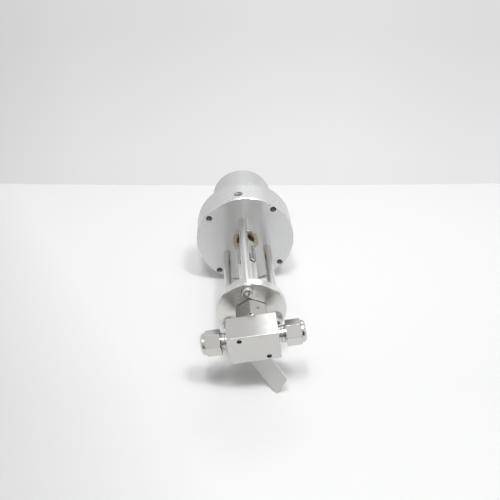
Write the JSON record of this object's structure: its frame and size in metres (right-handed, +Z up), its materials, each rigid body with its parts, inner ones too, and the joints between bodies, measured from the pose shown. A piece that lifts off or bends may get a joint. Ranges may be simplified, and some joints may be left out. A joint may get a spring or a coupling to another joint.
{
  "type": "pneumatic shut-off valve",
  "caption": "Bellows valve with compression tube ends, a post-mounted spring-return piston actuator and a bent sheet bracket.",
  "frame": {"origin": "centre of the valve body's bottom face, on the stem axis", "axes": "+Y along the stem towards the actuator, +Z up as the valve lies, tube ports near X"},
  "size_m": [0.096, 0.2462, 0.0961],
  "materials": {
    "stainless_steel": "turned and milled",
    "bright_steel": "bright",
    "polished_steel": "polished",
    "sheet_steel": "matt",
    "screw_steel": "bright",
    "spring_steel": "oiled",
    "aluminium": "satin turned",
    "bronze": "turned",
    "gasket": "plated",
    "polymer": "natural",
    "rubber": "matt"
  },
  "bodies": {
    "valve": {"valve_body": "stainless_steel", "left_tube_nut": "bright_steel", "right_tube_nut": "bright_steel", "left_front_ferrule": "stainless_steel", "right_front_ferrule": "stainless_steel", "left_back_ferrule": "stainless_steel", "right_back_ferrule": "stainless_steel", "union_nut": "bright_steel", "bonnet": "stainless_steel", "bonnet_gasket": "gasket", "bonnet_lock_nut": "bright_steel", "bellows": "stainless_steel", "yoke_flange": "stainless_steel", "top_post": "stainless_steel", "left_post": "stainless_steel", "right_post": "stainless_steel", "post_screws": "screw_steel", "post_washers": "screw_steel", "foot_bracket": "sheet_steel", "rod_bushing": "bronze", "rod_seal": "rubber", "actuator_cylinder": "aluminium", "clamp_screws": "screw_steel", "spring_housing": "aluminium", "cover_seal": "rubber", "spring_seat": "sheet_steel", "outer_spring": "spring_steel", "inner_spring": "spring_steel"},
    "moving_stem": {"valve_stem": "stainless_steel", "stem_tip": "polymer", "stem_coupling": "bright_steel", "rod_nut": "bright_steel", "piston_rod": "polished_steel", "piston": "aluminium", "piston_seal": "rubber", "piston_nut": "bright_steel"}
  },
  "joints": [
    {"name": "stem_lift", "type": "slide", "parent": "valve", "child": "moving_stem", "axis": [0, 1, 0], "range_m": [0, 0.004], "stiffness_N_per_m": 5000, "springref_m": -0.01, "deforming": ["outer_spring", "inner_spring", "bellows"]}
  ]
}
